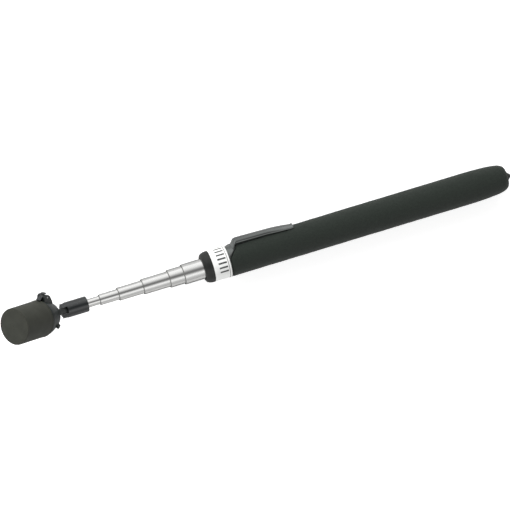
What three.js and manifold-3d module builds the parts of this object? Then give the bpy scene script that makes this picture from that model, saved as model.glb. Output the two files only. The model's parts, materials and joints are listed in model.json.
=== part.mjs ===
// A pocket telescopic magnetic pickup tool: a foam-covered handle with a pocket clip, six nested
// chromed steel tubes that pull out of it, a rotating fork with a pivoting head, and on the head a
// strong magnet under a slip-off shield cap that a small thumb latch holds.
// Millimetres. The tool lies along X with its head at the -X end, and +Z is up.
import * as THREE from "three";
import { mergeVertices } from "three/addons/utils/BufferGeometryUtils.js";
import Module from "manifold-3d";

const wasm = await Module();
wasm.setup();

// ---- Driving dimensions ------------------------------------------------------------------------

const SIDES = 24; // facets round every turned piece, so that nested pieces line up
const FIT = 0.05; // radial gap of pieces pressed or glued together
const degrees = THREE.MathUtils.degToRad;

// Telescopic tubes, numbered from the thinnest, 1, to the thickest that slides, 6. Tube 7 is fixed.
const SECTIONS = 6;
const TUBE_R1 = 1.8;
const TUBE_STEP = 0.5;
const TUBE_WALL = 0.25;
const LONGEST_TUBE = 124;
const LIP = 0.9; // length of the rolled-in lip at a tube's mouth
const BEAD = 0.9; // length of the rolled-out bead at a tube's tail
const BUSH = 9.9; // length of the split friction bush in front of the bead
const EXPOSED = { 6: 8.8, 5: 6.3, 4: 11.5, 3: 10.7, 2: 8.2, 1: 5.1 }; // each section, as stored
const tubeRadius = (k) => TUBE_R1 + (k - 1) * TUBE_STEP;
const tubeLength = (k) => LONGEST_TUBE - (SECTIONS - k);

// Handle, measured from the collar's front face at x = 0.
const GRIP_R = 6.75;
const GRIP_START = 11.5;
const GRIP_END = 135.2;
const COLLAR_END = 11.3;
const LABEL_START = 3.6;
const LABEL_END = 10.9;
const BASE_TUBE_START = 0.9;
const BASE_TUBE_END = 129.4;
const BUTTON_TIP = 137.1;

// Pocket clip: a formed strip that follows the handle's roundness.
const CLIP_ANGLE = degrees(32); // round the handle, from +Y towards +Z
const CLIP_THICKNESS = 0.5;
const CLIP_ROOT_X = 10.1;
const CLIP_TIP_X = 41.1;

// Fork: its length runs back from the tips of its ears.
const FORK_R = 3.3;
const FORK_LENGTH = 11.95;
const FORK_SLOT_DEPTH = 3.95;
const FORK_SLOT_WIDTH = 2.7;
const FORK_ROLL = degrees(1.2); // how far the fork is turned about the handle's line
const PIVOT_BACK = 1.35; // from the ears' tips to the pivot pin
const TUBE_1_MOUTH = 8.25; // from the ears' tips to the end of tube 1 inside the fork
const PIN_R = 0.7;

// Head, measured along its own axis from the pivot pin.
const HEAD_TILT = degrees(38.5); // how far the head is turned up from the handle's line
const TANG_THICKNESS = 2.2;
const TANG_R = 2.4; // of the eye
const NECK_HALF = 1.45; // between the eye and the shank
const SHELL_REAR = 7;
const SHELL_FRONT = 14.85;
const SHELL_R = 7.7;
const CAP_REAR = 15;
const CAP_FRONT = 30.9;
const CAP_R = 7.75;
const CAP_WALL = 1;
const CAP_FACE = 0.75;
const MAGNET_R = 6;
const MAGNET_REAR = 18.25;
const MAGNET_FRONT = 30;
const SPIGOT_R = 6.1;
const SPIGOT_FRONT = 17.1;

// Thumb latch on the head's rear shell.
const LATCH_ANGLE = degrees(24); // round the head, from +Y towards the head's own +Z
const LATCH_PIN = new THREE.Vector2(12.8, 9.1); // along the head, and out from its axis
const LATCH_PIN_R = 0.38;
const LATCH_WIDTH = 1.9;
const EAR_INNER = 1.1;
const EAR_OUTER = 2.1;
const KEY_ANGLE = degrees(140); // the small key on the shell's lower side

// ---- Places worked out from them ---------------------------------------------------------------

const mouthX = {}; // where each section leaves the next; for section 1, the fork's rear face
mouthX[SECTIONS + 1] = 0;
for (let k = SECTIONS; k >= 1; k--) mouthX[k] = mouthX[k + 1] - EXPOSED[k];
const forkTipX = mouthX[1] - FORK_LENGTH;
const pivotX = forkTipX + PIVOT_BACK;

// ---- Materials ---------------------------------------------------------------------------------

const material = (color, roughness, metalness) =>
  new THREE.MeshStandardMaterial({ color, roughness, metalness });
const foam = material(0x2b2f2d, 0.95, 0);
const blackPlastic = material(0x26282a, 0.4, 0);
const shellPlastic = material(0x55585a, 0.5, 0);
const capPlastic = material(0x45433d, 0.6, 0);
const label = material(0xf0f0ee, 0.45, 0);
const clipSteel = material(0x2c2f30, 0.3, 0.6);
const chrome = material(0xdadcdd, 0.15, 1);
const brass = material(0xc29a4e, 0.35, 1);
const steel = material(0x8d8f92, 0.35, 1);
const nickel = material(0xb9bab8, 0.25, 1);

// ---- Helpers -----------------------------------------------------------------------------------

// A closed geometry as a manifold-3d solid.
function solidOf(geometry) {
  const bare = geometry.clone();
  bare.deleteAttribute("normal");
  bare.deleteAttribute("uv");
  const merged = mergeVertices(bare, 1e-4);
  const index = merged.index.array;
  const kept = [];
  for (let i = 0; i < index.length; i += 3) {
    const [a, b, c] = [index[i], index[i + 1], index[i + 2]];
    if (a !== b && b !== c && c !== a) kept.push(a, b, c);
  }
  const vertProperties = merged.attributes.position.array;
  return new wasm.Manifold(new wasm.Mesh({ numProp: 3, vertProperties, triVerts: new Uint32Array(kept) }));
}

function geometryOf(solid) {
  const mesh = solid.getMesh();
  return new THREE.BufferGeometry()
    .setAttribute("position", new THREE.BufferAttribute(mesh.vertProperties, 3))
    .setIndex(new THREE.BufferAttribute(mesh.triVerts, 1));
}

function cut(geometry, ...tools) {
  return geometryOf(tools.reduce((solid, tool) => solid.subtract(solidOf(tool)), solidOf(geometry)));
}

function join(geometry, ...others) {
  return geometryOf(others.reduce((solid, other) => solid.add(solidOf(other)), solidOf(geometry)));
}

// A piece turned about X. The profile's points are [x, radius]; it closes on itself or on the axis.
function turned(profile) {
  const points = profile.map(([x, r]) => new THREE.Vector2(r, x));
  if (THREE.ShapeUtils.area(points) < 0) points.reverse();
  if (profile[0][1] > 0 || profile.at(-1)[1] > 0) points.push(points[0].clone());
  return geometryOf(solidOf(new THREE.LatheGeometry(points, SIDES, Math.PI / SIDES).rotateZ(-Math.PI / 2)));
}

const rod = (x0, x1, r) => turned([[x0, 0], [x0, r], [x1, r], [x1, 0]]);
const pipe = (x0, x1, inner, outer) => turned([[x0, inner], [x0, outer], [x1, outer], [x1, inner]]);

// The same for the head, whose profiles run along its own axis, which points to -X when it is straight.
const headTurned = (profile) => turned(profile.map(([h, r]) => [-h, r]));

// A flat outline in (y, z), extruded along X from x0 to x1.
function alongX(points, x0, x1) {
  const geometry = new THREE.ExtrudeGeometry(new THREE.Shape(points), { depth: x1 - x0, bevelEnabled: false });
  const turn = new THREE.Matrix4().makeBasis(
    new THREE.Vector3(0, 1, 0),
    new THREE.Vector3(0, 0, 1),
    new THREE.Vector3(1, 0, 0),
  );
  return geometry.applyMatrix4(turn).translate(x0, 0, 0);
}

const onCircle = (r, angle) => new THREE.Vector2(r * Math.cos(angle), r * Math.sin(angle));

// A piece of a ring from angle a0 to a1, measured from +Y towards +Z, in the given number of facets.
function ringSector(x0, x1, inner, outer, a0, a1, facets) {
  const at = (i) => a0 + ((a1 - a0) * i) / facets;
  const points = [];
  for (let i = 0; i <= facets; i++) points.push(onCircle(outer, at(i)));
  for (let i = facets; i >= 0; i--) points.push(onCircle(inner, at(i)));
  return alongX(points, x0, x1);
}

// A cylinder along Y.
const crossPin = (r, length) => new THREE.CylinderGeometry(r, r, length, SIDES);

// An outline in (along the head, out from its axis), given a thickness across and centred at `middle`
// sideways, then swung round the head's axis to the angle.
function standingOnHead(outline, thickness, middle, angle) {
  const shape = new THREE.Shape(outline.map(([h, out]) => new THREE.Vector2(-h, out)));
  return new THREE.ExtrudeGeometry(shape, { depth: thickness, bevelEnabled: false })
    .translate(0, 0, middle - thickness / 2)
    .rotateX(angle);
}

const tool = new THREE.Group();
const fork = new THREE.Group();
const head = new THREE.Group();
fork.position.x = forkTipX;
fork.rotation.x = FORK_ROLL;
head.position.x = pivotX;
head.rotation.set(FORK_ROLL, HEAD_TILT, 0);
tool.add(fork, head);

function add(group, name, geometry, finish) {
  const mesh = new THREE.Mesh(geometry, finish);
  mesh.name = name;
  group.add(mesh);
}

// ---- Telescopic sections -----------------------------------------------------------------------

// A drawn tube with its mouth rolled in round the next thinner tube, and a bead rolled out at its tail.
function sectionTube(k) {
  const r = tubeRadius(k);
  const bore = r - TUBE_WALL;
  const lipBore = k > 1 ? tubeRadius(k - 1) + 0.06 : bore;
  const front = k > 1 ? mouthX[k] : forkTipX + TUBE_1_MOUTH;
  const tail = mouthX[k] + tubeLength(k);
  return turned([
    [front, lipBore],
    [front, r - 0.1],
    [front + 0.15, r],
    [tail - BEAD - 0.15, r],
    [tail - BEAD, r + 0.21],
    [tail - 0.15, r + 0.21],
    [tail, r + 0.08],
    [tail, bore],
    [front + LIP + 0.2, bore],
    [front + LIP, lipBore],
  ]);
}

// A split spring bush that rubs inside the next tube. Its slit is one facet wide, underneath.
function frictionBush(k) {
  const tail = mouthX[k] + tubeLength(k) - BEAD - 0.2;
  const facet = (2 * Math.PI) / SIDES;
  const start = -Math.PI / 2 + facet / 2;
  const r = tubeRadius(k);
  return ringSector(tail - BUSH, tail, r + 0.03, r + 0.22, start, start + (SIDES - 1) * facet, SIDES - 1);
}

for (let k = SECTIONS; k >= 1; k--) {
  add(tool, `tube_${k}`, sectionTube(k), chrome);
  add(tool, `friction_bush_${k}`, frictionBush(k), brass);
}

// ---- Handle ------------------------------------------------------------------------------------

const baseR = tubeRadius(SECTIONS + 1);
const slideR = tubeRadius(SECTIONS);

const baseTube = turned([
  [BASE_TUBE_START, slideR + 0.06],
  [BASE_TUBE_START, baseR - 0.1],
  [BASE_TUBE_START + 0.15, baseR],
  [BASE_TUBE_END, baseR],
  [BASE_TUBE_END, baseR - TUBE_WALL],
  [BASE_TUBE_START + LIP + 0.2, baseR - TUBE_WALL],
  [BASE_TUBE_START + LIP, slideR + 0.06],
]);
add(tool, "base_tube", baseTube, steel);

// The clip's root wraps the base tube under the collar's rear edge, and shows as a crescent in front of
// the sleeve. Steps of falling width cut the room for it: [start, end, half angle].
const rootSlots = [
  [9.7, 12.05, degrees(58)],
  [12, 12.65, degrees(52)],
  [12.6, 13.25, degrees(44)],
  [13.2, 13.85, degrees(35)],
  [13.8, 14.9, degrees(31)],
];
const rootRoom = (floor) =>
  rootSlots.map(([x0, x1, half]) => ringSector(x0, x1, floor, GRIP_R + 1, CLIP_ANGLE - half, CLIP_ANGLE + half, 8));

const collar = turned([
  [0, slideR + 0.12],
  [0, 5.4],
  [0.3, 5.9],
  [1.2, 6.42],
  [2.2, 6.68],
  [2.9, GRIP_R],
  [LABEL_START - 0.1, GRIP_R],
  [LABEL_START - 0.1, GRIP_R - 0.1],
  [LABEL_END + 0.1, GRIP_R - 0.1],
  [LABEL_END + 0.1, GRIP_R],
  [COLLAR_END, GRIP_R],
  [COLLAR_END, baseR + FIT],
  [BASE_TUBE_START - 0.1, baseR + FIT],
  [BASE_TUBE_START - 0.1, slideR + 0.12],
]);
add(tool, "front_collar", cut(collar, ...rootRoom(5.5)), blackPlastic);
add(tool, "label_band", pipe(LABEL_START, LABEL_END, GRIP_R - FIT, GRIP_R + 0.03), label);

const sleeve = turned([
  [GRIP_START, baseR + 0.1],
  [GRIP_START, GRIP_R - 0.2],
  [GRIP_START + 0.3, GRIP_R],
  [118, GRIP_R],
  [124.5, 6.58],
  [129, 6.3],
  [131.5, 6],
  [133.4, 5.45],
  [134.6, 4.7],
  [GRIP_END, 3.6],
  [GRIP_END, 2.25],
  [131.5, 2.25],
  [131.5, baseR + 0.1],
]);
add(tool, "grip_sleeve", cut(sleeve, ...rootRoom(5.55)), foam);

const endPlug = turned([
  [124.5, 0],
  [124.5, baseR - TUBE_WALL - FIT],
  [BASE_TUBE_END + FIT, baseR - TUBE_WALL - FIT],
  [BASE_TUBE_END + FIT, baseR],
  [131.35, baseR],
  [131.35, 2.15],
  [GRIP_END + 0.1, 2.15],
  [GRIP_END + 0.5, 1.85],
  [BUTTON_TIP, 0.55],
  [BUTTON_TIP, 0],
]);
add(tool, "end_plug", endPlug, blackPlastic);

// ---- Pocket clip -------------------------------------------------------------------------------

// The strip's middle line as (along the handle, out from its axis): under the collar, up over the
// sleeve's edge, and down to the turned-up tip.
const clipLine = new THREE.SplineCurve(
  [
    [CLIP_ROOT_X, 6.05],
    [12.4, 6.05],
    [13.6, 6.2],
    [14.2, 6.9],
    [14.9, 8.2],
    [15.6, 8.75],
    [16.8, 8.86],
    [20, 8.8],
    [26, 8.62],
    [32.5, 8.4],
    [37.5, 7.95],
    [39.3, 7.7],
    [40.3, 7.72],
    [CLIP_TIP_X, 7.92],
  ].map(([x, out]) => new THREE.Vector2(x, out)),
);

// Half the strip's width as an angle round the handle: a broad root, a straight arm, a narrower tip.
function clipHalfAngle(x) {
  const root = 52 - 9.5 * Math.max(x - 11.4, 0) ** 1.1;
  const arm = 16.2 - 3 * THREE.MathUtils.clamp((x - 30) / 11, 0, 1) ** 1.5;
  return degrees(Math.max(root, arm));
}

// The arm is creased along its middle, and this is how far its lower edge drops towards the grip.
function foldDepth(x) {
  const { clamp } = THREE.MathUtils;
  return 1.1 * clamp((x - 14.5) / 1.5, 0, 1) * (1 - 0.55 * clamp((x - 30) / 8, 0, 1));
}

// Extrudes the strip's side outline across its width, then wraps it round the handle.
function pocketClip() {
  const steps = 36;
  const upper = [];
  const lower = [];
  for (let i = 0; i <= steps; i++) {
    const at = clipLine.getPoint(i / steps);
    const along = clipLine.getTangent(i / steps);
    const out = new THREE.Vector2(-along.y, along.x).multiplyScalar(CLIP_THICKNESS / 2);
    upper.push(at.clone().add(out));
    lower.unshift(at.clone().sub(out));
  }
  const shape = new THREE.Shape([...upper, ...lower]);
  const strip = new THREE.ExtrudeGeometry(shape, { depth: 1, steps: 8, bevelEnabled: false });
  const place = strip.attributes.position;
  for (let i = 0; i < place.count; i++) {
    const [x, out, across] = [place.getX(i), place.getY(i), place.getZ(i)];
    const side = 2 * across - 1;
    const fold = foldDepth(x) * Math.max(side, 0);
    const angle = CLIP_ANGLE + side * clipHalfAngle(x) * (1 - 0.45 * fold);
    const round = onCircle(out - fold, angle);
    place.setXYZ(i, x, round.x, round.y);
  }
  return strip;
}
add(tool, "pocket_clip", pocketClip(), clipSteel);

// ---- Rotating fork -----------------------------------------------------------------------------

const forkBody = turned([
  [0, 0],
  [0, 1.9],
  [0.3, 2.55],
  [0.9, 3],
  [1.7, 3.24],
  [2.6, FORK_R],
  [FORK_LENGTH - 0.5, FORK_R],
  [FORK_LENGTH - 0.15, FORK_R - 0.18],
  [FORK_LENGTH, FORK_R - 0.5],
  [FORK_LENGTH, 0],
]);
const slotLength = FORK_SLOT_DEPTH + 1;
const slot = new THREE.BoxGeometry(slotLength, FORK_SLOT_WIDTH, 4 * FORK_R)
  .translate(FORK_SLOT_DEPTH - slotLength / 2, 0, 0);
const studPocket = rod(2.5, 6.95, 2.05);
const studHole = rod(5, 9, 1.35);
const tubeSocket = rod(TUBE_1_MOUTH - 0.25, FORK_LENGTH + 1, 1.9);
const pinHole = crossPin(PIN_R + FIT, 4 * FORK_R).translate(PIVOT_BACK, 0, 0);
const rivetSeats = [-1, 1].map((side) => crossPin(1.2, 1).translate(PIVOT_BACK, side * 3.2, 0));
add(fork, "swivel_fork", cut(forkBody, slot, studPocket, studHole, tubeSocket, pinHole, ...rivetSeats), blackPlastic);

// A rivet that crosses both ears, with a flat head sunk in each.
const rivet = turned([
  [-3.05, 0],
  [-3.05, 1.1],
  [-2.75, 1.1],
  [-2.75, PIN_R],
  [2.75, PIN_R],
  [2.75, 1.1],
  [3.05, 1.1],
  [3.05, 0],
]).rotateZ(Math.PI / 2);
add(fork, "pivot_rivet", rivet.translate(PIVOT_BACK, 0, 0), steel);

// Spring washers that press on both faces of the tang.
const washerInner = TANG_THICKNESS / 2 + FIT;
for (const [name, side] of [["near", -1], ["far", 1]]) {
  const washer = pipe(washerInner, FORK_SLOT_WIDTH / 2 - FIT, PIN_R + 0.1, TANG_R - 0.1)
    .rotateZ((side * Math.PI) / 2)
    .translate(PIVOT_BACK, 0, 0);
  add(fork, `pivot_washer_${name}`, washer, steel);
}

// A headed stud, pressed into tube 1, holds the fork on the tube and lets it turn.
const stud = turned([
  [6.05, 0],
  [6.05, 1.9],
  [6.8, 1.9],
  [6.8, 1.2],
  [8.3, 1.2],
  [8.3, 1.5],
  [14, 1.5],
  [14, 0],
]);
add(fork, "swivel_stud", stud, steel);

// ---- Head --------------------------------------------------------------------------------------

// A flat eye on the pivot rivet, a round shank through the shell, and a pin in the backing disc.
const eye = new THREE.Shape()
  .moveTo(0, TANG_R)
  .absarc(0, 0, TANG_R, Math.PI / 2, -Math.PI / 2, true)
  .lineTo(-1, -2.1)
  .lineTo(-2, -NECK_HALF)
  .lineTo(-4, -NECK_HALF)
  .lineTo(-4.9, -2.2)
  .lineTo(-6, -2.2)
  .lineTo(-6, 2.2)
  .lineTo(-4.9, 2.2)
  .lineTo(-4, NECK_HALF)
  .lineTo(-2, NECK_HALF)
  .lineTo(-1, 2.1);
const blade = new THREE.ExtrudeGeometry(eye, { depth: TANG_THICKNESS, bevelEnabled: false, curveSegments: 10 })
  .rotateX(Math.PI / 2)
  .translate(0, TANG_THICKNESS / 2, 0);
const shank = headTurned([
  [4.5, 0],
  [4.5, 2],
  [5.2, 2.6],
  [5.8, 2.9],
  [SHELL_REAR - 0.1, 2.9],
  [SHELL_REAR - 0.1, 2.2],
  [SPIGOT_FRONT + FIT, 2.2],
  [SPIGOT_FRONT + FIT, 1.5],
  [MAGNET_REAR - 0.1, 1.5],
  [MAGNET_REAR - 0.1, 0],
]);
add(head, "swivel_tang", cut(join(blade, shank), crossPin(PIN_R + 0.1, 10)), blackPlastic);

// The rear shell: a rounded cone that opens out to the cap, two ears for the latch, and a small key.
const earOutline = [
  [14.5, 7],
  [14.5, 9.4],
  [13.9, 10.15],
  [12.2, 10.1],
  [11.2, 9.4],
  [9.4, 6.5],
  [9.4, 5.2],
];
const earThickness = EAR_OUTER - EAR_INNER;
const earMiddle = (EAR_OUTER + EAR_INNER) / 2;
const ears = [-1, 1].map((side) => standingOnHead(earOutline, earThickness, side * earMiddle, LATCH_ANGLE));
const keyOutline = [
  [11.2, 6.2],
  [11.2, 7.6],
  [10.9, 7.8],
  [9.9, 7.6],
  [9.3, 7],
  [9.3, 5.4],
];
const key = standingOnHead(keyOutline, 1.2, 0, KEY_ANGLE);
const shellBody = headTurned([
  [SHELL_REAR, 2.25],
  [SHELL_REAR, 4.4],
  [7.5, 5.05],
  [10, 6.25],
  [12, 7.05],
  [13.5, 7.5],
  [SHELL_FRONT - 0.25, SHELL_R],
  [SHELL_FRONT, SHELL_R - 0.2],
  [SHELL_FRONT, SPIGOT_R],
  [SPIGOT_FRONT, SPIGOT_R],
  [SPIGOT_FRONT, 2.25],
]);
const latchHole = (r, length) =>
  crossPin(r, length).rotateX(Math.PI / 2).translate(-LATCH_PIN.x, LATCH_PIN.y, 0).rotateX(LATCH_ANGLE);
add(head, "rear_shell", cut(join(shellBody, ...ears, key), latchHole(LATCH_PIN_R + 0.04, 8)), shellPlastic);
add(head, "latch_pin", latchHole(LATCH_PIN_R, 2 * EAR_OUTER + 0.2), steel);

add(head, "backing_disc", headTurned([
  [SPIGOT_FRONT + 0.15, 1.55],
  [SPIGOT_FRONT + 0.15, MAGNET_R],
  [MAGNET_REAR - 0.05, MAGNET_R],
  [MAGNET_REAR - 0.05, 1.55],
]), steel);
add(head, "magnet", headTurned([
  [MAGNET_REAR, 0],
  [MAGNET_REAR, MAGNET_R - 0.2],
  [MAGNET_REAR + 0.2, MAGNET_R],
  [MAGNET_FRONT - 0.3, MAGNET_R],
  [MAGNET_FRONT, MAGNET_R - 0.3],
  [MAGNET_FRONT, 0],
]), nickel);

// The cap slips over the magnet, with a bead near its rear rim for the latch's hook.
const capBore = CAP_R - CAP_WALL;
const cap = headTurned([
  [CAP_REAR, capBore],
  [CAP_REAR, CAP_R - 0.1],
  [CAP_REAR + 0.2, CAP_R + 0.14],
  [CAP_REAR + 0.5, CAP_R + 0.14],
  [CAP_REAR + 0.75, CAP_R],
  [CAP_FRONT - 0.6, CAP_R],
  [CAP_FRONT - 0.18, CAP_R - 0.18],
  [CAP_FRONT, CAP_R - 0.6],
  [CAP_FRONT, 0],
  [CAP_FRONT - CAP_FACE, 0],
  [CAP_FRONT - CAP_FACE, capBore],
]);
add(head, "shield_cap", cap, capPlastic);
add(head, "shield_liner", headTurned([
  [CAP_REAR + 0.35, capBore - 0.45],
  [CAP_REAR + 0.35, capBore - 0.1],
  [CAP_FRONT - CAP_FACE - 0.1, capBore - 0.1],
  [CAP_FRONT - CAP_FACE - 0.1, capBore - 0.45],
]), steel);

// The latch: a hook over the cap's bead, a hub on the pin, and a thumb pad that overhangs to the rear.
const latchOutline = [
  [16.45, 8],
  [16.45, 8.6],
  [15, 9.2],
  [14.1, 9.8],
  [13.9, 10.8],
  [12.2, 10.85],
  [12.15, 10.35],
  [13.1, 10.2],
  [13.1, 9.8],
  [12.6, 9.65],
  [12.1, 9.4],
  [12, 8.9],
  [12.5, 8.5],
  [15.4, 8.45],
  [15.75, 8],
];
const latch = standingOnHead(latchOutline, LATCH_WIDTH, 0, LATCH_ANGLE);
add(head, "thumb_latch", cut(latch, latchHole(LATCH_PIN_R + 0.04, 8)), blackPlastic);

// A leaf spring that lies on the shell and rises under the latch's hub.
const leaf = [
  [9.7, 6.2],
  [9.7, 6.42],
  [11.2, 7.12],
  [11.8, 8.25],
  [12.9, 8.3],
  [12.9, 8.08],
  [11.95, 8.03],
  [11.35, 6.95],
];
add(head, "latch_spring", standingOnHead(leaf, 1.4, 0, LATCH_ANGLE), steel);

// ---- Frame: the tool lies on z = 0 under the middle of its bounding box -------------------------

const part = new THREE.Group();
part.add(tool);
part.updateMatrixWorld(true);
const bounds = new THREE.Box3().setFromObject(tool, true);
const middle = bounds.getCenter(new THREE.Vector3());
tool.position.set(-middle.x, -middle.y, -bounds.min.z);

export default part;
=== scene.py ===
"""Looks of the telescopic magnetic pickup tool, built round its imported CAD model.

Shapes are written in millimetres, in four local systems. TOOL has x = 0 at the handle's front face
and runs towards the grip's end along +x. HEAD starts at the pivot pin and runs towards the lifting
face along -x, with +z to the head's upper side. PIN starts at the pivot pin too and runs along it.
FORK has x = 0 at the tips of the fork's ears and runs back along +x.
"""

import json
import math

import bmesh
import bpy
from mathutils import Matrix, Vector, noise


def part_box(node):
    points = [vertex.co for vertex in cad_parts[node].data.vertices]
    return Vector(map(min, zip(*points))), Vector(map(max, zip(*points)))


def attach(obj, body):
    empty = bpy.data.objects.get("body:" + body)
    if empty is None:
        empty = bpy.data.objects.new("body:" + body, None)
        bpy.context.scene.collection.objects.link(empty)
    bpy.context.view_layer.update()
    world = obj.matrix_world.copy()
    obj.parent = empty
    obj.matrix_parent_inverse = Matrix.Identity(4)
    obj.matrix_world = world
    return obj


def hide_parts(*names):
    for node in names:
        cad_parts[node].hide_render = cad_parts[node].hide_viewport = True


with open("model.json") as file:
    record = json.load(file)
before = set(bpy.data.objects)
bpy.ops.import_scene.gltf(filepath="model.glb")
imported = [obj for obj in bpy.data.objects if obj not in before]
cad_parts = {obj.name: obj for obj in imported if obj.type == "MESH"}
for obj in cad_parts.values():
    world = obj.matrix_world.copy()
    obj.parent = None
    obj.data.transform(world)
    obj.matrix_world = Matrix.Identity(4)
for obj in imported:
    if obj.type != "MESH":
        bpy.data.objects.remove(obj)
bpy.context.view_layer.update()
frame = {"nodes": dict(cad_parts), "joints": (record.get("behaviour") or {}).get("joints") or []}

# ---- Local systems -------------------------------------------------------------------------------

MM = 0.001
BASE_TUBE_START = 0.9  # behind the handle's front face
joints = {joint["name"]: joint for joint in frame["joints"]}

tube_low, tube_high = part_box("base_tube")
axis_y, axis_z = ((tube_low + tube_high) / 2).yz
handle_face = Vector((tube_low.x - BASE_TUBE_START * MM, axis_y, axis_z))
TOOL = Matrix.Translation(handle_face) @ Matrix.Scale(MM, 4)

pivot = Vector(joints["head_pivot"]["pos_m"])
forward = Vector(joints["cap_slide"]["axis"])
pivot_axis = Vector(joints["head_pivot"]["axis"])
tilt = math.atan2(math.hypot(forward.y, forward.z), -forward.x)
ROLL = Matrix.Rotation(math.atan2(pivot_axis.z, pivot_axis.y), 4, "X")
HEAD = Matrix.Translation(pivot) @ ROLL @ Matrix.Rotation(tilt, 4, "Y") @ Matrix.Scale(MM, 4)
PIN = Matrix.Translation(pivot) @ ROLL @ Matrix.Rotation(math.pi / 2, 4, "Z") @ Matrix.Scale(MM, 4)
PIVOT_BACK = 1.35
FORK = Matrix.Translation(pivot) @ ROLL @ Matrix.Scale(MM, 4) @ Matrix.Translation((-PIVOT_BACK, 0, 0))

# ---- Camera, floor and light ---------------------------------------------------------------------

VIEW_TILT = math.radians(10)  # the camera stands this far from overhead, towards the head
VIEW_ROLL = math.radians(16.88)  # the tool's slope in the picture
CAMERA_DISTANCE = 2.5
PICTURE_WIDTH = 0.2125  # metres across the picture at the handle's height
FACE_IN_PICTURE = Vector((-0.1028, -0.0268))  # the handle's front face, in widths from the middle

back = Vector((-math.sin(VIEW_TILT), 0, math.cos(VIEW_TILT)))
along = Vector((math.cos(VIEW_TILT), 0, math.sin(VIEW_TILT)))
across = back.cross(along)
right = math.cos(VIEW_ROLL) * along - math.sin(VIEW_ROLL) * across
up = math.sin(VIEW_ROLL) * along + math.cos(VIEW_ROLL) * across
aim = handle_face - PICTURE_WIDTH * (FACE_IN_PICTURE.x * right + FACE_IN_PICTURE.y * up)

camera = bpy.data.objects.new("camera", bpy.data.cameras.new("camera"))
camera.data.sensor_width = 36
camera.data.lens = 36 * CAMERA_DISTANCE / PICTURE_WIDTH
camera.data.clip_end = 100
camera.matrix_world = Matrix.Translation(aim + CAMERA_DISTANCE * back) @ Matrix(
    (right, up, back)
).transposed().to_4x4()
bpy.context.scene.collection.objects.link(camera)
bpy.context.scene.camera = camera
bpy.context.scene.view_settings.view_transform = "Standard"

floor_mesh = bpy.data.meshes.new("floor")
REACH = 6
floor_mesh.from_pydata(
    [(-REACH, -REACH, 0), (REACH, -REACH, 0), (REACH, REACH, 0), (-REACH, REACH, 0)], [], [(0, 1, 2, 3)]
)
floor = bpy.data.objects.new("floor", floor_mesh)
floor.location.z = -0.0002
bpy.context.scene.collection.objects.link(floor)


def area_light(name, place, target, size, watts):
    light = bpy.data.lights.new(name, "AREA")
    light.shape = "RECTANGLE"
    light.size, light.size_y = size
    light.energy = watts
    lamp = bpy.data.objects.new(name, light)
    lamp.location = place
    lamp.rotation_mode = "QUATERNION"
    lamp.rotation_quaternion = (Vector(target) - Vector(place)).to_track_quat("-Z", "Y")
    lamp.visible_glossy = False  # bright metal mirrors the sky below instead
    bpy.context.scene.collection.objects.link(lamp)


area_light("key", (-0.35, 1.1, 0.95), (0, 0, 0), (1.4, 0.5), 21)
area_light("fill", (-1.2, -0.3, 0.65), (0, 0, 0), (0.6, 0.6), 3.5)


def sky():
    """A white studio with a dark gap overhead, so that round bright metal shows its length."""
    world = bpy.data.worlds.new("studio")
    bpy.context.scene.world = world
    world.use_nodes = True
    tree = world.node_tree
    tree.nodes.clear()
    where = tree.nodes.new("ShaderNodeTexCoord")
    split = tree.nodes.new("ShaderNodeSeparateXYZ")
    side = tree.nodes.new("ShaderNodeMapRange")
    side.inputs["From Min"].default_value = -1
    bands = tree.nodes.new("ShaderNodeValToRGB")
    stops = [
        (0.0, 0.42), (0.06, 0.47), (0.13, 0.74), (0.22, 0.92), (0.3, 0.72), (0.4, 0.28), (0.49, 0.15),
        (0.58, 0.16), (0.68, 0.34), (0.78, 0.62), (0.88, 0.82), (0.97, 0.95), (1.0, 0.9),
    ]
    ramp = bands.color_ramp
    while len(ramp.elements) < len(stops):
        ramp.elements.new(0.5)
    for element, (place, grey) in zip(ramp.elements, stops):
        element.position = place
        element.color = (grey, grey, grey, 1)
    lit = tree.nodes.new("ShaderNodeBackground")
    lit.inputs["Strength"].default_value = 1.1
    seen = tree.nodes.new("ShaderNodeBackground")
    seen.inputs["Color"].default_value = (1, 1, 1, 1)
    path = tree.nodes.new("ShaderNodeLightPath")
    mix = tree.nodes.new("ShaderNodeMixShader")
    out = tree.nodes.new("ShaderNodeOutputWorld")
    link = tree.links.new
    link(where.outputs["Generated"], split.inputs[0])
    link(split.outputs["Y"], side.inputs["Value"])
    link(side.outputs[0], bands.inputs["Fac"])
    link(bands.outputs["Color"], lit.inputs["Color"])
    link(path.outputs["Is Camera Ray"], mix.inputs["Fac"])
    link(lit.outputs[0], mix.inputs[1])
    link(seen.outputs[0], mix.inputs[2])
    link(mix.outputs[0], out.inputs["Surface"])


sky()

# ---- Materials -----------------------------------------------------------------------------------


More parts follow.
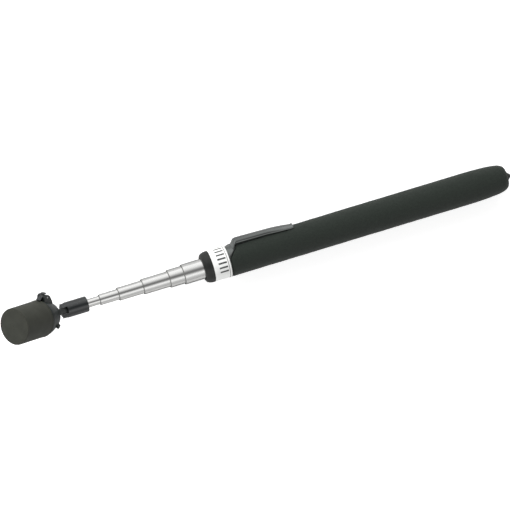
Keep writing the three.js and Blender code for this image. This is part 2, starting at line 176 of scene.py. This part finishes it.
def finish(
    name,
    color,
    roughness,
    metallic=0.0,
    variation=0.15,
    patch=400,
    grain=3000,
    stretch=(1, 1, 1),
    bump=0.1,
    depth=0.02,
    pores=0.0,
    wear=0.06,
    **sockets,
):
    """A procedural surface. Colour drifts in patches, and a fine grain moves roughness and height.

    patch and grain are feature counts per metre, depth is the grain's height in millimetres, and pores
    mixes in small pits. Other arguments set the shader's own sockets.
    """
    material = bpy.data.materials.new(name)
    material.use_nodes = True
    nodes, link = material.node_tree.nodes, material.node_tree.links.new
    shader = nodes["Principled BSDF"]
    shader.inputs["Metallic"].default_value = metallic
    for socket, value in sockets.items():
        shader.inputs[socket.replace("_", " ")].default_value = value

    where = nodes.new("ShaderNodeTexCoord")
    mapping = nodes.new("ShaderNodeMapping")
    mapping.inputs["Scale"].default_value = stretch
    link(where.outputs["Object"], mapping.inputs["Vector"])

    def noise_at(scale, detail):
        texture = nodes.new("ShaderNodeTexNoise")
        texture.inputs["Scale"].default_value = scale
        texture.inputs["Detail"].default_value = detail
        link(mapping.outputs[0], texture.inputs["Vector"])
        return texture.outputs["Fac"]

    drift, fine = noise_at(patch, 3), noise_at(grain, 4)
    tint = nodes.new("ShaderNodeValToRGB")
    tint.color_ramp.elements[0].position, tint.color_ramp.elements[1].position = 0.3, 0.7
    tint.color_ramp.elements[0].color = (*[c * (1 - variation) for c in color], 1)
    tint.color_ramp.elements[1].color = (*[c * (1 + variation) for c in color], 1)
    link(drift, tint.inputs["Fac"])
    link(tint.outputs["Color"], shader.inputs["Base Color"])

    shine = nodes.new("ShaderNodeMapRange")
    shine.inputs["To Min"].default_value = max(roughness - wear, 0.03)
    shine.inputs["To Max"].default_value = min(roughness + wear, 1.0)
    link(fine, shine.inputs["Value"])
    link(shine.outputs[0], shader.inputs["Roughness"])

    height = fine
    if pores:
        pits = nodes.new("ShaderNodeTexVoronoi")
        pits.inputs["Scale"].default_value = grain * 0.6
        link(mapping.outputs[0], pits.inputs["Vector"])
        blend = nodes.new("ShaderNodeMix")
        blend.inputs["Factor"].default_value = pores
        link(fine, blend.inputs["A"])
        link(pits.outputs["Distance"], blend.inputs["B"])
        height = blend.outputs["Result"]
    relief = nodes.new("ShaderNodeBump")
    relief.inputs["Strength"].default_value = bump
    relief.inputs["Distance"].default_value = depth * MM
    link(height, relief.inputs["Height"])
    link(relief.outputs[0], shader.inputs["Normal"])
    return material


foam = finish(
    "foam", (0.0168, 0.022, 0.0178), 0.82, variation=0.2, patch=1800, grain=4200, bump=0.85, depth=0.07,
    pores=0.5, wear=0.05, Sheen_Weight=0.06, Sheen_Roughness=0.5, Specular_IOR_Level=0.4,
)
collar_black = finish(
    "collar_black", (0.0115, 0.0125, 0.0115), 0.45, grain=4000, bump=0.15, depth=0.01,
    Specular_IOR_Level=0.5,
)
fork_black = finish(
    "fork_black", (0.0055, 0.0078, 0.0088), 0.2, grain=1800, bump=0.12, depth=0.01, wear=0.05,
    Specular_IOR_Level=1.0,
)
clip_black = finish(
    "clip_black", (0.19, 0.202, 0.197), 0.14, metallic=0.95, grain=1500, stretch=(0.25, 1, 1),
    bump=0.06, depth=0.008, wear=0.04, Coat_Weight=0.15, Coat_Roughness=0.08,
)
shell_grey = finish(
    "shell_grey", (0.0135, 0.0175, 0.016), 0.36, grain=2200, bump=0.15, depth=0.015,
    Specular_IOR_Level=0.5,
)
tang_grey = finish(
    "tang_grey", (0.03, 0.033, 0.032), 0.36, grain=2200, bump=0.12, depth=0.012, Specular_IOR_Level=0.9,
)
cap_brown = finish(
    "cap_brown", (0.034, 0.0355, 0.028), 0.62, variation=0.1, patch=250, grain=3200, bump=0.3,
    depth=0.02, wear=0.05, Specular_IOR_Level=0.35,
)
label_white = finish("label_white", (0.84, 0.845, 0.83), 0.45, variation=0.03, grain=2500, bump=0.05)
label_ink = finish("label_ink", (0.05, 0.052, 0.05), 0.5, grain=2500, bump=0.05)
chrome = finish(
    "drawn_chrome", (0.9, 0.9, 0.885), 0.17, metallic=1, variation=0.03, patch=60, grain=2600,
    stretch=(0.02, 1, 1), bump=0.12, depth=0.006, wear=0.05, Specular_Tint=(0.25, 0.25, 0.25, 1),
)
# Painted shade: a darker chrome for each mouth's front edge, standing in for the shadow where one tube
# enters the next.
mouth_painted_shade = finish(
    "chrome_painted_shade", (0.3, 0.3, 0.29), 0.45, metallic=0.8, variation=0.2, grain=3000, bump=0.1,
    depth=0.005,
)
steel = finish(
    "plain_steel", (0.42, 0.425, 0.43), 0.34, metallic=1, grain=1800, stretch=(0.1, 1, 1), bump=0.15,
    depth=0.008,
)
brass = finish("brass", (0.62, 0.41, 0.14), 0.32, metallic=1, grain=2000, bump=0.1, depth=0.008)
nickel = finish(
    "nickel", (0.62, 0.61, 0.57), 0.22, metallic=1, variation=0.06, grain=2000, bump=0.1, depth=0.006,
)


def studio_paper():
    """White paper that glows a little to the camera, and is greyer in the metal's reflections."""
    material = bpy.data.materials.new("pale_floor")
    material.use_nodes = True
    nodes, link = material.node_tree.nodes, material.node_tree.links.new
    nodes.clear()
    matt = nodes.new("ShaderNodeBsdfDiffuse")
    tint = nodes.new("ShaderNodeValToRGB")
    tint.color_ramp.elements[0].color = (0.84, 0.84, 0.84, 1)
    tint.color_ramp.elements[1].color = (0.86, 0.86, 0.86, 1)
    texture = nodes.new("ShaderNodeTexNoise")
    texture.inputs["Scale"].default_value = 60
    link(texture.outputs["Fac"], tint.inputs["Fac"])
    link(tint.outputs["Color"], matt.inputs["Color"])
    glow = nodes.new("ShaderNodeEmission")
    glow.inputs["Strength"].default_value = 0.6
    bright = nodes.new("ShaderNodeAddShader")
    link(matt.outputs[0], bright.inputs[0])
    link(glow.outputs[0], bright.inputs[1])
    grey = nodes.new("ShaderNodeBsdfDiffuse")
    grey.inputs["Color"].default_value = (0.55, 0.55, 0.55, 1)
    path = nodes.new("ShaderNodeLightPath")
    mix = nodes.new("ShaderNodeMixShader")
    out = nodes.new("ShaderNodeOutputMaterial")
    link(path.outputs["Is Glossy Ray"], mix.inputs["Fac"])
    link(bright.outputs[0], mix.inputs[1])
    link(grey.outputs[0], mix.inputs[2])
    link(mix.outputs[0], out.inputs["Surface"])
    return material


floor_mesh.materials.append(studio_paper())

# ---- Shape helpers -------------------------------------------------------------------------------

SIDES = 96


def soften(points, radius, steps=4, closed=None):
    """Rounds a line's corners. It is closed unless it starts on the axis, where its ends stay."""
    closed = points[0][1] > 0 if closed is None else closed
    points = [Vector(p) for p in points]
    soft = []
    for i, corner in enumerate(points):
        if not closed and i in (0, len(points) - 1):
            soft.append(corner)
            continue
        before, after = points[i - 1] - corner, points[(i + 1) % len(points)] - corner
        start = corner + before.normalized() * min(radius, before.length * 0.45)
        end = corner + after.normalized() * min(radius, after.length * 0.45)
        for step in range(steps + 1):
            t = step / steps
            soft.append(start * (1 - t) ** 2 + corner * (2 * t * (1 - t)) + end * t**2)
    return [tuple(p) for p in soft]


def arc(r, start, end, steps, x=0, z=0):
    """Points of an arc about (x, z), from start to end in degrees."""
    angles = [math.radians(start + (end - start) * i / steps) for i in range(steps + 1)]
    return [(x + r * math.cos(a), z + r * math.sin(a)) for a in angles]


def circle(r, sides, x=0, z=0):
    """Corners of a circle about (x, z)."""
    return arc(r, 0, 360, sides, x, z)[:-1]


def turned(profile, sides=SIDES):
    """A piece turned about x from points (x, radius), as (corners, faces)."""
    corners, rings, faces = [], [], []
    for x, r in profile:
        count = sides if r > 1e-6 else 1
        rings.append(range(len(corners), len(corners) + count))
        for i in range(count):
            angle = math.tau * i / sides
            corners.append((x, r * math.cos(angle), r * math.sin(angle)))
    if len(rings[0]) > 1:
        rings.append(rings[0])
    for ring, following in zip(rings, rings[1:]):
        for i in range(sides):
            face = [ring[i % len(ring)], following[i % len(following)]]
            face += [following[(i + 1) % sides % len(following)], ring[(i + 1) % sides % len(ring)]]
            face = list(dict.fromkeys(face))
            if len(face) > 2:
                faces.append(face)
    return corners, faces


def prism(outline, low, high, turn=0.0):
    """An outline (x, z) given a width from y = low to high, then swung round x.

    It stands along +z before it is swung, and turn is measured from +y towards +z.
    """
    swing = Matrix.Rotation(turn - math.pi / 2, 3, "X")
    count = len(outline)
    corners = [tuple(swing @ Vector((x, y, z))) for y in (low, high) for x, z in outline]
    faces = [list(range(count)), list(range(2 * count - 1, count - 1, -1))]
    faces += [[i, (i + 1) % count, count + (i + 1) % count, count + i] for i in range(count)]
    return corners, faces


def piece(name, shapes, system, body, finish_of, replaced=(), cuts=(), bevel=0.0, angle=32):
    """One visible piece made of shapes, less its cuts, in a local system, riding on a body."""

    def mesh_of(label, parts):
        bm = bmesh.new()
        for corners, faces in parts:
            made = [bm.verts.new(c) for c in corners]
            for face in faces:
                bm.faces.new([made[i] for i in face])
        bmesh.ops.recalc_face_normals(bm, faces=bm.faces)
        mesh = bpy.data.meshes.new(label)
        bm.to_mesh(mesh)
        bm.free()
        mesh.transform(system)
        return mesh

    item = bpy.data.objects.new(name, mesh_of(name, shapes))
    bpy.context.scene.collection.objects.link(item)
    knives = []
    for i, cut in enumerate(cuts):
        knife = bpy.data.objects.new(f"{name}_cut_{i}", mesh_of(f"{name}_cut_{i}", [cut]))
        bpy.context.scene.collection.objects.link(knife)
        modifier = item.modifiers.new("cut", "BOOLEAN")
        modifier.operation, modifier.solver, modifier.object = "DIFFERENCE", "EXACT", knife
        knives.append(knife)
    if bevel:
        modifier = item.modifiers.new("edges", "BEVEL")
        modifier.width, modifier.segments = bevel * MM, 3
        modifier.limit_method, modifier.angle_limit = "ANGLE", math.radians(35)
    if item.modifiers:
        evaluated = item.evaluated_get(bpy.context.evaluated_depsgraph_get())
        mesh = bpy.data.meshes.new_from_object(evaluated)
        item.modifiers.clear()
        item.data = mesh
        for knife in knives:
            bpy.data.objects.remove(knife)
    item.data.name = name
    item.data.polygons.foreach_set("use_smooth", [True] * len(item.data.polygons))
    item.data.set_sharp_from_angle(angle=math.radians(angle))
    item.data.materials.clear()
    item.data.materials.append(finish_of)
    if replaced:
        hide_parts(*replaced)
    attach(item, body)
    return item


def keep(node, finish_of):
    """Shows a CAD node as it is, with its own surface."""
    item = frame["nodes"][node]
    item.data.materials.clear()
    item.data.materials.append(finish_of)
    item.data.polygons.foreach_set("use_smooth", [True] * len(item.data.polygons))
    item.data.set_sharp_from_angle(angle=math.radians(25))


# ---- Telescopic sections -------------------------------------------------------------------------

WALL = 0.25
THINNEST_R = 1.8
STEP_R = 0.5  # from one tube's radius to the next
BEAD = 0.21  # how far a tail's bead stands out
PAINTED_SHADE_DEPTH = 0.3  # how far back the painted shade at a mouth runs


def section(number):
    """A drawn tube: a rolled-in mouth with painted shade on its front edge, and a beaded tail."""
    low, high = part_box(f"tube_{number}")
    front, tail = (TOOL.inverted() @ low).x, (TOOL.inverted() @ high).x
    r = THINNEST_R + STEP_R * (number - 1)
    mouth = r - 0.44 if number > 1 else r - WALL
    profile = soften(
        [
            (front, mouth), (front, r - 0.14), (front + 0.15, r - 0.03), (front + 0.4, r - 0.03),
            (front + 0.45, r), (tail - 1.05, r), (tail - 0.9, r + BEAD), (tail - 0.15, r + BEAD),
            (tail, r + 0.08), (tail, r - WALL), (front + 1.1, r - WALL), (front + 0.9, mouth),
        ],
        0.12,
    )
    name = f"section_{number}"
    item = piece(name, [turned(profile)], TOOL, name, chrome, [f"tube_{number}"])
    # The mouth's front faces get the darker chrome as painted shade.
    item.data.materials.append(mouth_painted_shade)
    for face in item.data.polygons:
        x, y, z = TOOL.inverted() @ face.center
        if x < front + PAINTED_SHADE_DEPTH and math.hypot(y, z) > mouth + 0.03:
            face.material_index = 1
    keep(f"friction_bush_{number}", brass)


for number in range(1, 7):
    section(number)

# ---- Handle --------------------------------------------------------------------------------------

GRIP_R = 6.75
GRIP_START = 11.5
GRIP_END = 135.2
CLIP_ANGLE = math.radians(32)
NOTCH_END = 14.9  # of the room that the clip's strap has in the foam
NOTCH_R = 5.58
STRAP_HALF_ANGLE = 52  # degrees, at the clip's root
FOAM_DETAIL, HIDDEN_DETAIL = 0.45, 1.5  # steps along the sleeve's outline


def root_half_angle(x, widest):
    """Half the width of the clip's root, or of the room for it, as an angle round the handle."""
    return math.radians(widest - 9.5 * max(x - 11.4, 0) ** 1.1)


def grip():
    """The foam sleeve: slightly uneven, with a notch at its front for the clip's strap."""
    outline = [
        (GRIP_START, 4.9), (GRIP_START, 6.5), (GRIP_START + 0.35, GRIP_R), (118, GRIP_R), (122, 6.68),
        (125, 6.55), (127, 6.42), (129, 6.28), (131, 6.05), (132.6, 5.7), (133.8, 5.22), (134.6, 4.65),
        (135.05, 4), (GRIP_END, 3.2), (GRIP_END - 0.1, 2.3), (131.5, 2.3), (131.5, 4.9),
    ]
    fine = []
    for (x0, r0), (x1, r1) in zip(outline, outline[1:] + outline[:1]):
        step = FOAM_DETAIL if r0 > 5 and r1 > 5 else HIDDEN_DETAIL
        count = max(1, round(math.hypot(x1 - x0, r1 - r0) / step))
        fine += [(x0 + (x1 - x0) * i / count, r0 + (r1 - r0) * i / count) for i in range(count)]
    corners, faces = turned(fine, 144)
    shaped = []
    for x, y, z in corners:
        r, angle = math.hypot(y, z), math.atan2(z, y)
        if r > 4.95:
            off_clip = abs(math.remainder(angle - CLIP_ANGLE, math.tau))
            if x < NOTCH_END and off_clip < root_half_angle(x, STRAP_HALF_ANGLE + 5):
                r = min(r, NOTCH_R)
            else:
                spot = Vector((x, y, z))
                r += 0.035 * noise.noise(spot * 1.3) + 0.05 * noise.noise(spot * 0.25)
        elif x > 132:
            r += 0.03 * noise.noise(Vector((x, y, z)) * 1.5)
        shaped.append((x, r * math.cos(angle), r * math.sin(angle)))
    sleeve = (shaped, faces)
    item = piece("foam_grip", [sleeve], TOOL, "handle", foam, ["grip_sleeve"], angle=70)


grip()


def ring_block(x0, x1, inner, outer, middle, half_angle, facets=24):
    """A piece of a ring about x."""
    corners, faces = [], []
    for x in (x0, x1):
        for r in (inner, outer):
            for i in range(facets + 1):
                angle = middle + half_angle * (2 * i / facets - 1)
                corners.append((x, r * math.cos(angle), r * math.sin(angle)))
    row = facets + 1
    for i in range(facets):
        faces += [
            [i, i + 1, row + i + 1, row + i],
            [2 * row + i, 2 * row + i + 1, 3 * row + i + 1, 3 * row + i],
            [i, i + 1, 2 * row + i + 1, 2 * row + i],
            [row + i, row + i + 1, 3 * row + i + 1, 3 * row + i],
        ]
    faces += [[0, row, 3 * row, 2 * row], [facets, row + facets, 3 * row + facets, 2 * row + facets]]
    return corners, faces


collar = soften(
    [
        (0, 4.42), (0, 5.35), (0.3, 5.9), (1.2, 6.42), (2.2, 6.68), (2.9, GRIP_R), (3.5, GRIP_R),
        (3.5, GRIP_R - 0.1), (11, GRIP_R - 0.1), (11, GRIP_R), (11.3, GRIP_R), (11.3, 4.9), (0.8, 4.9),
        (0.8, 4.42),
    ],
    0.3,
)
piece(
    "nose_collar", [turned(collar)], TOOL, "handle", collar_black, ["front_collar"],
    cuts=[ring_block(9.7, 12, 5.5, 8, CLIP_ANGLE, root_half_angle(0, STRAP_HALF_ANGLE + 6))],
)
band = [(3.6, GRIP_R - 0.05), (3.6, GRIP_R + 0.03), (10.9, GRIP_R + 0.03), (10.9, GRIP_R - 0.05)]
band = soften(band, 0.03, 2)
piece("label_band_white", [turned(band)], TOOL, "handle", label_white, ["label_band"])


def marks():
    """Plain printed bars round the label, with a thin line along its rear edge."""
    top = GRIP_R + 0.05
    shapes = []
    for i in range(10):
        shapes.append(ring_block(5.9, 9.5, GRIP_R, top, math.radians(-20 + 16 * i), math.radians(3), 4))
    shapes.append(ring_block(9.95, 10.15, GRIP_R, top, math.radians(45), math.radians(179.5), 96))
    piece("label_marks", shapes, TOOL, "handle", label_ink)


marks()
plug = soften(
    [
        (124.5, 0), (124.5, 4.5), (129.45, 4.5), (129.45, 4.75), (131.35, 4.75), (131.35, 2.15),
        (135.3, 2.15), (135.7, 1.85), (137.1, 0.55), (137.1, 0),
    ],
    0.3,
)
piece("end_button", [turned(plug)], TOOL, "handle", collar_black, ["end_plug"])
keep("base_tube", steel)

# ---- Pocket clip ---------------------------------------------------------------------------------


def smooth_line(points, per_span=8):
    """A curve through the points."""
    points = [Vector(p) for p in points]
    points = [2 * points[0] - points[1], *points, 2 * points[-1] - points[-2]]
    line = []
    for a, b, c, d in zip(points, points[1:], points[2:], points[3:]):
        for i in range(per_span):
            t = i / per_span
            square, cube = 2 * a - 5 * b + 4 * c - d, 3 * b - 3 * c + d - a
            line.append(0.5 * (2 * b + (c - a) * t + square * t**2 + cube * t**3))
    return [*line, points[-2]]


def rise(x, start, length):
    """Rises from 0 at start to 1 over length, and stays there."""
    return min(max((x - start) / length, 0), 1)


def pocket_clip():
    """A sprung strip, creased along its arm so that its lower part turns down towards the grip."""
    line = smooth_line(
        [
            (10.1, 6.05), (12.4, 6.05), (13.6, 6.2), (14.2, 6.9), (14.9, 8.2), (15.6, 8.75),
            (16.8, 8.86), (20, 8.8), (26, 8.62), (32.5, 8.4), (37.5, 7.95), (39.3, 7.7),
            (40.3, 7.68), (41.1, 7.8),
        ]
    )
    half_thick, rows = 0.25, 20
    edge_start = 0.85  # of the half width, where the rounded edges begin
    crease_start, crease_depth, crease_turn = 14.5, 1.2, 0.44
    section_points = [(2 * i / rows - 1, 1) for i in range(rows + 1)]
    section_points += [(1 - 2 * i / rows, -1) for i in range(rows + 1)]
    corners, faces = [], []
    for i, at in enumerate(line):
        ahead, behind = line[min(i + 1, len(line) - 1)], line[max(i - 1, 0)]
        slope = (ahead - behind).normalized()
        normal = Vector((-slope.y, slope.x))
        arm = math.radians(16.2 - 3 * rise(at.x, 30, 11) ** 1.5)
        half_angle = max(root_half_angle(at.x, STRAP_HALF_ANGLE), arm)
        fold_depth = crease_depth * rise(at.x, crease_start, 1.5) * (1 - 0.55 * rise(at.x, 30, 8))
        for side, level in section_points:
            edge = max(abs(side) - edge_start, 0) / (1 - edge_start)
            thick = half_thick * math.sqrt(max(1 - edge**2, 0))
            fold = fold_depth * max(side, 0)
            spot = at + normal * (level * max(thick, 0.02)) - Vector((0, fold))
            angle = CLIP_ANGLE + side * half_angle * (1 - crease_turn * fold)
            corners.append((spot.x, spot.y * math.cos(angle), spot.y * math.sin(angle)))
    count = len(section_points)
    for i in range(len(line) - 1):
        for j in range(count):
            k = (j + 1) % count
            faces.append([i * count + j, i * count + k, (i + 1) * count + k, (i + 1) * count + j])
    last = (len(line) - 1) * count
    faces += [list(range(count)), [last + j for j in range(count)]]
    strip = (corners, faces)
    piece("spring_clip", [strip], TOOL, "clip", clip_black, ["pocket_clip"], angle=50)


pocket_clip()

# ---- Rotating fork -------------------------------------------------------------------------------

FORK_R = 3.3
SLOT_DEPTH = 3.95
SLOT_HALF = 1.35
RIVET_R = 0.7
RIVET_HEAD_R = 1.1

body_outline = soften(
    [
        (0, 0), (0, 1.9), (0.3, 2.55), (0.9, 3), (1.7, 3.24), (2.6, FORK_R), (11.45, FORK_R),
        (11.8, 3.12), (11.95, 2.8), (11.95, 1.95), (8, 1.95), (8, 0),
    ],
    0.25,
)
slot_floor = arc(SLOT_DEPTH - PIVOT_BACK, -50, 50, 16, x=PIVOT_BACK)  # hollowed round the eye
mouth_x = slot_floor[0][0]
slot_outline = [(-1, -8), (mouth_x, -8), *slot_floor, (mouth_x, 8), (-1, 8)]
slot_cut = prism(slot_outline, -SLOT_HALF, SLOT_HALF, math.pi / 2)
stud_room = turned([(2.5, 0), (2.5, 2.05), (6.95, 2.05), (6.95, 1.35), (9, 1.35), (9, 0)])
seats = []
for side in (-1, 1):
    corners, faces = turned([(side * 2.7, 0), (side * 2.7, 1.2), (side * 4.2, 1.2), (side * 4.2, 0)])
    seats.append(([(PIVOT_BACK - y, x, z) for x, y, z in corners], faces))
piece(
    "fork_body", [turned(body_outline)], FORK, "fork", fork_black, ["swivel_fork"],
    cuts=[slot_cut, stud_room, *seats], bevel=0.14,
)
rivet = soften(
    [
        (-3.1, 0), (-3.1, RIVET_HEAD_R), (-2.75, RIVET_HEAD_R), (-2.75, RIVET_R), (2.75, RIVET_R),
        (2.75, RIVET_HEAD_R), (3.1, RIVET_HEAD_R), (3.1, 0),
    ],
    0.16,
)
piece("fork_rivet", [turned(rivet, 48)], PIN, "fork", steel, ["pivot_rivet"])
for node in ("pivot_washer_near", "pivot_washer_far", "swivel_stud"):
    keep(node, steel)

# ---- Head ----------------------------------------------------------------------------------------


def head_turned(profile, sides=SIDES):
    """A piece turned about the head's axis from points (distance from the pivot, radius)."""
    return turned([(-h, r) for h, r in profile], sides)


def on_head(outline, low, high, angle):
    """An outline (distance from the pivot, distance from the axis) that stands on the head."""
    return prism([(-h, out) for h, out in outline], low, high, angle)


LATCH_ANGLE = math.radians(24)
KEY_ANGLE = math.radians(140)
EYE_R = 2.4
CORE_R = 6

eye = arc(EYE_R, -90, 90, 32)
neck = [(-1, 2.1), (-2, 1.45), (-4, 1.45), (-4.9, 2.2), (-6, 2.2)]
neck += [(x, -z) for x, z in reversed(neck)]
blade = prism([*eye, *neck], -1.1, 1.1, math.pi / 2)
shank = soften(
    [
        (4.5, 0), (4.5, 2), (5.2, 2.6), (5.8, 2.9), (6.9, 2.9), (6.9, 2.2), (17.15, 2.2), (17.15, 1.5),
        (18.15, 1.5), (18.15, 0),
    ],
    0.15,
)
rivet_bore = prism(circle(RIVET_R + 0.1, 48), -3, 3, math.pi / 2)
piece(
    "head_tang", [blade, head_turned(shank)], HEAD, "head", tang_grey, ["swivel_tang"],
    cuts=[rivet_bore], bevel=0.12,
)

shell = soften(
    [
        (7, 2.25), (7, 4.4), (7.5, 5.05), (10, 6.25), (12, 7.05), (13.5, 7.5), (14.6, 7.7),
        (14.85, 7.5), (14.85, 6.1), (17.1, 6.1), (17.1, 2.25),
    ],
    0.3,
)
ear = soften(
    [(14.5, 7), (14.5, 9.4), (13.9, 10.15), (12.2, 10.1), (11.2, 9.4), (9.4, 6.5), (9.4, 5.2)],
    0.6, 5, True,
)
key = soften([(11.2, 6.2), (11.2, 7.6), (10.9, 7.8), (9.9, 7.6), (9.3, 7), (9.3, 5.4)], 0.25, 3, True)
piece(
    "head_shell",
    [
        head_turned(shell), on_head(ear, 1.1, 2.1, LATCH_ANGLE), on_head(ear, -2.1, -1.1, LATCH_ANGLE),
        on_head(key, -0.6, 0.6, KEY_ANGLE),
    ],
    HEAD, "head", shell_grey, ["rear_shell"], bevel=0.12,
)
latch = soften(
    [
        (16.45, 8), (16.45, 8.6), (15, 9.2), (14.1, 9.8), (13.9, 10.8), (12.2, 10.85), (12.15, 10.35),
        (13.1, 10.2), (13.1, 9.8), (12.6, 9.65), (12.1, 9.4), (12, 8.9), (12.5, 8.5), (15.4, 8.45),
        (15.75, 8),
    ],
    0.25, 4, True,
)
pin_bore = circle(0.46, 32, x=12.8, z=9.1)
piece(
    "latch_lever", [on_head(latch, -0.95, 0.95, LATCH_ANGLE)], HEAD, "latch", fork_black,
    ["thumb_latch"], cuts=[on_head(pin_bore, -3, 3, LATCH_ANGLE)], bevel=0.1,
)
keep("latch_pin", steel)
keep("latch_spring", steel)
keep("backing_disc", steel)

core = soften([(18.25, 0), (18.25, CORE_R), (30, CORE_R), (30, 0)], 0.3)
piece("magnet_core", [head_turned(core)], HEAD, "head", nickel, ["magnet"])
cap = soften(
    [
        (15, 6.75), (15, 7.65), (15.2, 7.89), (15.5, 7.89), (15.75, 7.75), (30.9, 7.75), (30.9, 0),
        (30.15, 0), (30.15, 6.75),
    ],
    0.45, 6, True,
)
cap = [(h, max(r, 0)) for h, r in cap]
piece("magnet_cap", [head_turned(cap)], HEAD, "cap", cap_brown, ["shield_cap"])
keep("shield_liner", steel)
